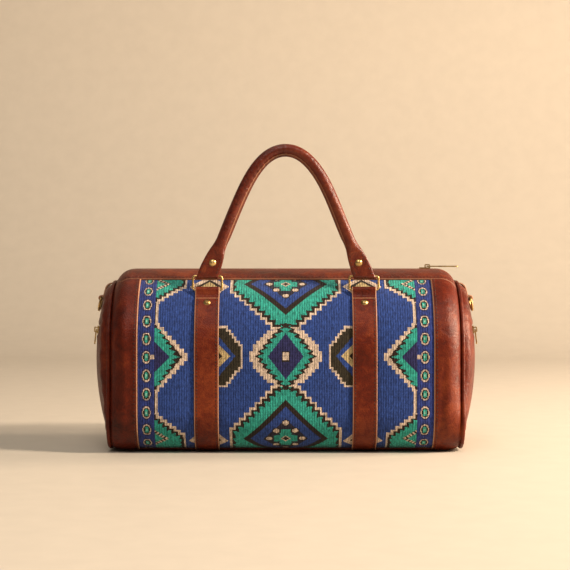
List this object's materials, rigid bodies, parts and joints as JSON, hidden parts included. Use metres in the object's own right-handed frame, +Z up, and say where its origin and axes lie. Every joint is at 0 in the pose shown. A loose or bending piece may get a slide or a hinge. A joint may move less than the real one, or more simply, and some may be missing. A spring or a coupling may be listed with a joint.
{
  "type": "carpet bag",
  "caption": "Soft duffel bag with woven panels and leather trim, a zipped top, zipped end pockets, D-rings and rolled handles that fold on wire rings.",
  "frame": {"origin": "middle of the base's flat underside", "axes": "+X along the bag, towards the zip's closed end; -Y to the front; +Z up"},
  "size_m": [0.5002, 0.2882, 0.3942],
  "materials": {
    "leather": "polished tan leather",
    "brass": "polished, a little aged",
    "kilim": "flat-woven wool",
    "zip_tape": "woven tape",
    "lining": "plain cotton",
    "handle_cord": "cotton cord",
    "board": "plain board"
  },
  "bodies": {
    "bag": {"base_panel": "leather", "front_left_band": "leather", "front_right_band": "leather", "back_left_band": "leather", "back_right_band": "leather", "front_zip_band": "leather", "back_zip_band": "leather", "left_end_panel": "leather", "right_end_panel": "leather", "left_piping": "leather", "right_piping": "leather", "front_left_strap": "leather", "front_right_strap": "leather", "back_left_strap": "leather", "back_right_strap": "leather", "left_ring_tab": "leather", "right_ring_tab": "leather", "strap_rivets": "brass", "main_zip_front_teeth": "brass", "main_zip_back_teeth": "brass", "main_zip_stops": "brass", "front_kilim_panel": "kilim", "back_kilim_panel": "kilim", "main_zip_front_tape": "zip_tape", "main_zip_back_tape": "zip_tape", "left_pocket_tape": "zip_tape", "right_pocket_tape": "zip_tape", "left_pocket_coil": "zip_tape", "right_pocket_coil": "zip_tape", "lining": "lining", "left_pocket_bag": "lining", "right_pocket_bag": "lining", "base_board": "board"},
    "front_left_ring": {"front_left_ring": "brass"},
    "front_right_ring": {"front_right_ring": "brass"},
    "front_handle": {"front_handle": "leather", "front_handle_core": "handle_cord", "front_handle_rivets": "brass"},
    "back_left_ring": {"back_left_ring": "brass"},
    "back_right_ring": {"back_right_ring": "brass"},
    "back_handle": {"back_handle": "leather", "back_handle_core": "handle_cord", "back_handle_rivets": "brass"},
    "main_zip_slider": {"main_zip_slider": "brass"},
    "main_zip_pull": {"main_zip_pull": "brass"},
    "left_pocket_slider": {"left_pocket_slider": "brass"},
    "left_pocket_pull": {"left_pocket_pull": "brass"},
    "right_pocket_slider": {"right_pocket_slider": "brass"},
    "right_pocket_pull": {"right_pocket_pull": "brass"},
    "left_d_ring": {"left_d_ring": "brass"},
    "right_d_ring": {"right_d_ring": "brass"}
  },
  "joints": [
    {"name": "front_left_ring_turn", "type": "hinge", "parent": "bag", "child": "front_left_ring", "pos_m": [-0.1, -0.08683, 0.20748], "axis": [1, 0, 0], "range_deg": [-8, 116]},
    {"name": "front_right_ring_turn", "type": "hinge", "parent": "bag", "child": "front_right_ring", "pos_m": [0.1, -0.08683, 0.20748], "axis": [1, 0, 0], "range_deg": [-8, 116]},
    {"name": "front_handle_turn", "type": "hinge", "parent": "front_left_ring", "child": "front_handle", "pos_m": [0, -0.08683, 0.22498], "axis": [1, 0, 0], "range_deg": [-14, 28]},
    {"name": "back_left_ring_turn", "type": "hinge", "parent": "bag", "child": "back_left_ring", "pos_m": [-0.1, 0.08683, 0.20748], "axis": [1, 0, 0], "range_deg": [0, 124]},
    {"name": "back_right_ring_turn", "type": "hinge", "parent": "bag", "child": "back_right_ring", "pos_m": [0.1, 0.08683, 0.20748], "axis": [1, 0, 0], "range_deg": [0, 124]},
    {"name": "back_handle_turn", "type": "hinge", "parent": "back_left_ring", "child": "back_handle", "pos_m": [0, 0.10256, 0.19981], "axis": [1, 0, 0], "range_deg": [0, 38]},
    {"name": "main_zip_slide", "type": "slide", "parent": "bag", "child": "main_zip_slider", "axis": [-1, 0, 0], "range_m": [0, 0.366]},
    {"name": "main_zip_pull_turn", "type": "hinge", "parent": "main_zip_slider", "child": "main_zip_pull", "pos_m": [0.1885, 0, 0.237], "axis": [0, -1, 0], "range_deg": [0, 175]},
    {"name": "left_pocket_slide", "type": "hinge", "parent": "bag", "child": "left_pocket_slider", "pos_m": [0.08044, 0, 0.155], "axis": [0, 0, -1], "range_deg": [0, 18.1]},
    {"name": "left_pocket_pull_turn", "type": "hinge", "parent": "left_pocket_slider", "child": "left_pocket_pull", "pos_m": [-0.24627, -0.05206, 0.1553], "axis": [-0.1574, 0.9875, 0], "range_deg": [0, 150]},
    {"name": "left_d_ring_turn", "type": "hinge", "parent": "bag", "child": "left_d_ring", "pos_m": [-0.24476, 0, 0.19507], "axis": [0, 1, 0], "range_deg": [0, 140]},
    {"name": "right_pocket_slide", "type": "hinge", "parent": "bag", "child": "right_pocket_slider", "pos_m": [-0.08044, 0, 0.155], "axis": [0, 0, 1], "range_deg": [0, 18.1]},
    {"name": "right_pocket_pull_turn", "type": "hinge", "parent": "right_pocket_slider", "child": "right_pocket_pull", "pos_m": [0.24627, -0.05206, 0.1553], "axis": [-0.1574, -0.9875, 0], "range_deg": [0, 150]},
    {"name": "right_d_ring_turn", "type": "hinge", "parent": "bag", "child": "right_d_ring", "pos_m": [0.24476, 0, 0.19507], "axis": [0, -1, 0], "range_deg": [0, 140]}
  ],
  "couplings": [
    {"joint": "front_right_ring_turn", "follows": "front_left_ring_turn", "ratio": 1},
    {"joint": "back_right_ring_turn", "follows": "back_left_ring_turn", "ratio": 1}
  ]
}
